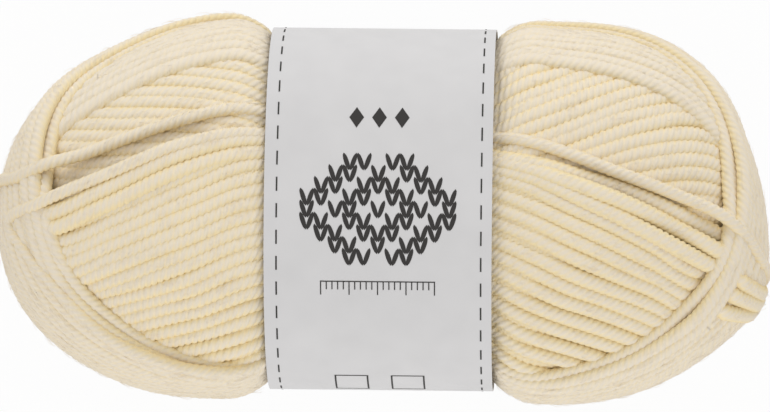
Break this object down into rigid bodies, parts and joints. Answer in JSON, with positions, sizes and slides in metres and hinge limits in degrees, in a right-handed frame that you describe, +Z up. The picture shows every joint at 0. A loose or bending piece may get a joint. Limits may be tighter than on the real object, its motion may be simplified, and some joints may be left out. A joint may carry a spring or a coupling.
{
  "type": "ball of yarn",
  "caption": "Machine-wound oval ball of thick cream yarn with a paper band round its waist; the band slides off either end so the yarn can be used.",
  "frame": {"origin": "on the surface the ball lies on, below the middle of the ball", "axes": "+X along the ball's long way, +Y across it, towards the edge that is the upper one when the band is read, +Z up, out of the band's front"},
  "size_m": [0.1401, 0.0694, 0.0579],
  "materials": {
    "cream_yarn": "matte, slightly fuzzy plied acrylic",
    "inner_yarn": "matte plied acrylic, shaded",
    "band_paper": "smooth uncoated paper, printed in dark grey",
    "dry_glue": "dry film"
  },
  "bodies": {
    "ball": {"core_winding": "inner_yarn", "upper_lay": "cream_yarn", "front_lay": "cream_yarn", "closing_lay": "cream_yarn"},
    "band": {"paper_band": "band_paper", "glue_line": "dry_glue"}
  },
  "joints": [
    {"name": "band_slide", "type": "slide", "parent": "ball", "child": "band", "axis": [1, 0, 0], "range_m": [-0.095, 0.095], "deforming": ["upper_lay", "front_lay", "closing_lay"]}
  ]
}
